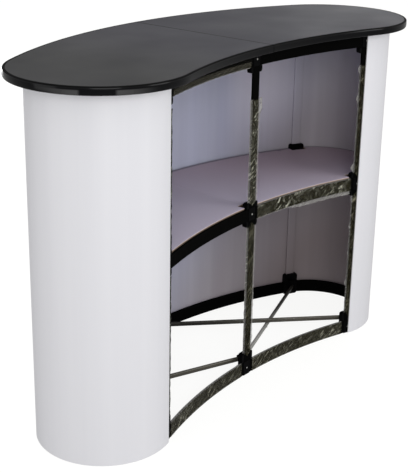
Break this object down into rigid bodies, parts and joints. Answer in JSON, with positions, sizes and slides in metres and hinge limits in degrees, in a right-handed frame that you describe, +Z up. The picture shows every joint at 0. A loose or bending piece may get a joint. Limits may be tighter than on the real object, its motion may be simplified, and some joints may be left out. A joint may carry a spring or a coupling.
{
  "type": "exhibition counter",
  "caption": "Folding exhibition counter with a kidney-shaped top, an open back with a shelf, a hub and bar frame and curved white panels.",
  "frame": {"origin": "on the floor, under the middle of the top's bounding box", "axes": "+X to the right along the counter as seen from the staff side, +Y from the staff side to the panelled front, +Z up"},
  "size_m": [1.397, 0.5578, 0.95],
  "materials": {
    "black_plastic": "moulded black plastic, satin",
    "black_bar": "matte black coated flat bar, partly under a clear protective film",
    "grey_bar": "light grey coated flat bar",
    "strut_metal": "dark satin flat-oval section",
    "top_laminate": "dark grey laminate, soft satin",
    "edge_plastic": "glossy black rounded edge band",
    "shelf_laminate": "mauve grey laminate on a tan board",
    "panel_plastic": "smooth white flexible sheet, satin"
  },
  "bodies": {
    "frame": {"hub_back_left_bottom": "black_plastic", "hub_back_left_middle": "black_plastic", "hub_back_left_top": "black_plastic", "hub_back_centre_bottom": "black_plastic", "hub_back_centre_middle": "black_plastic", "hub_back_centre_top": "black_plastic", "hub_back_right_bottom": "black_plastic", "hub_back_right_middle": "black_plastic", "hub_back_right_top": "black_plastic", "hub_front_left_bottom": "black_plastic", "hub_front_left_middle": "black_plastic", "hub_front_left_top": "black_plastic", "hub_front_centre_bottom": "black_plastic", "hub_front_centre_middle": "black_plastic", "hub_front_centre_top": "black_plastic", "hub_front_right_bottom": "black_plastic", "hub_front_right_middle": "black_plastic", "hub_front_right_top": "black_plastic", "upright_back_left_lower": "black_bar", "upright_back_left_upper": "black_bar", "upright_back_centre_lower": "black_bar", "upright_back_centre_upper": "black_bar", "upright_back_right_lower": "black_bar", "upright_back_right_upper": "black_bar", "upright_front_left_lower": "grey_bar", "upright_front_left_upper": "grey_bar", "upright_front_centre_lower": "grey_bar", "upright_front_centre_upper": "grey_bar", "upright_front_right_lower": "grey_bar", "upright_front_right_upper": "grey_bar", "bar_back_bottom_left": "black_bar", "bar_back_bottom_right": "black_bar", "bar_back_middle_left": "black_bar", "bar_back_middle_right": "black_bar", "bar_back_top_left": "black_bar", "bar_back_top_right": "black_bar", "bar_front_bottom_left": "black_bar", "bar_front_bottom_right": "black_bar", "bar_front_middle_left": "black_bar", "bar_front_middle_right": "black_bar", "bar_front_top_left": "black_bar", "bar_front_top_right": "black_bar", "bar_end_bottom_left": "black_bar", "bar_end_bottom_right": "black_bar", "strut_high_bottom_left": "strut_metal", "strut_low_bottom_left": "strut_metal", "strut_pair_middle_left": "strut_metal", "strut_high_bottom_right": "strut_metal", "strut_low_bottom_right": "strut_metal", "strut_pair_middle_right": "strut_metal", "panel_end_left": "panel_plastic", "panel_end_right": "panel_plastic", "panel_front": "panel_plastic"},
    "shelf_left": {"shelf_left": "shelf_laminate"},
    "shelf_right": {"shelf_right": "shelf_laminate"},
    "top_left": {"top_board_left": "top_laminate", "top_edge_left": "edge_plastic"},
    "top_right": {"top_board_right": "top_laminate", "top_edge_right": "edge_plastic"}
  },
  "joints": [
    {"name": "top_lift", "type": "slide", "parent": "frame", "child": "top_left", "axis": [0, 0, 1], "range_m": [0, 0.12]},
    {"name": "top_fold", "type": "hinge", "parent": "top_left", "child": "top_right", "pos_m": [0, 0, 0.9503], "axis": [0, -1, 0], "range_deg": [0, 180]},
    {"name": "shelf_left_lift", "type": "slide", "parent": "frame", "child": "shelf_left", "axis": [0, 0, 1], "range_m": [0, 0.1]},
    {"name": "shelf_right_lift", "type": "slide", "parent": "frame", "child": "shelf_right", "axis": [0, 0, 1], "range_m": [0, 0.1]}
  ]
}
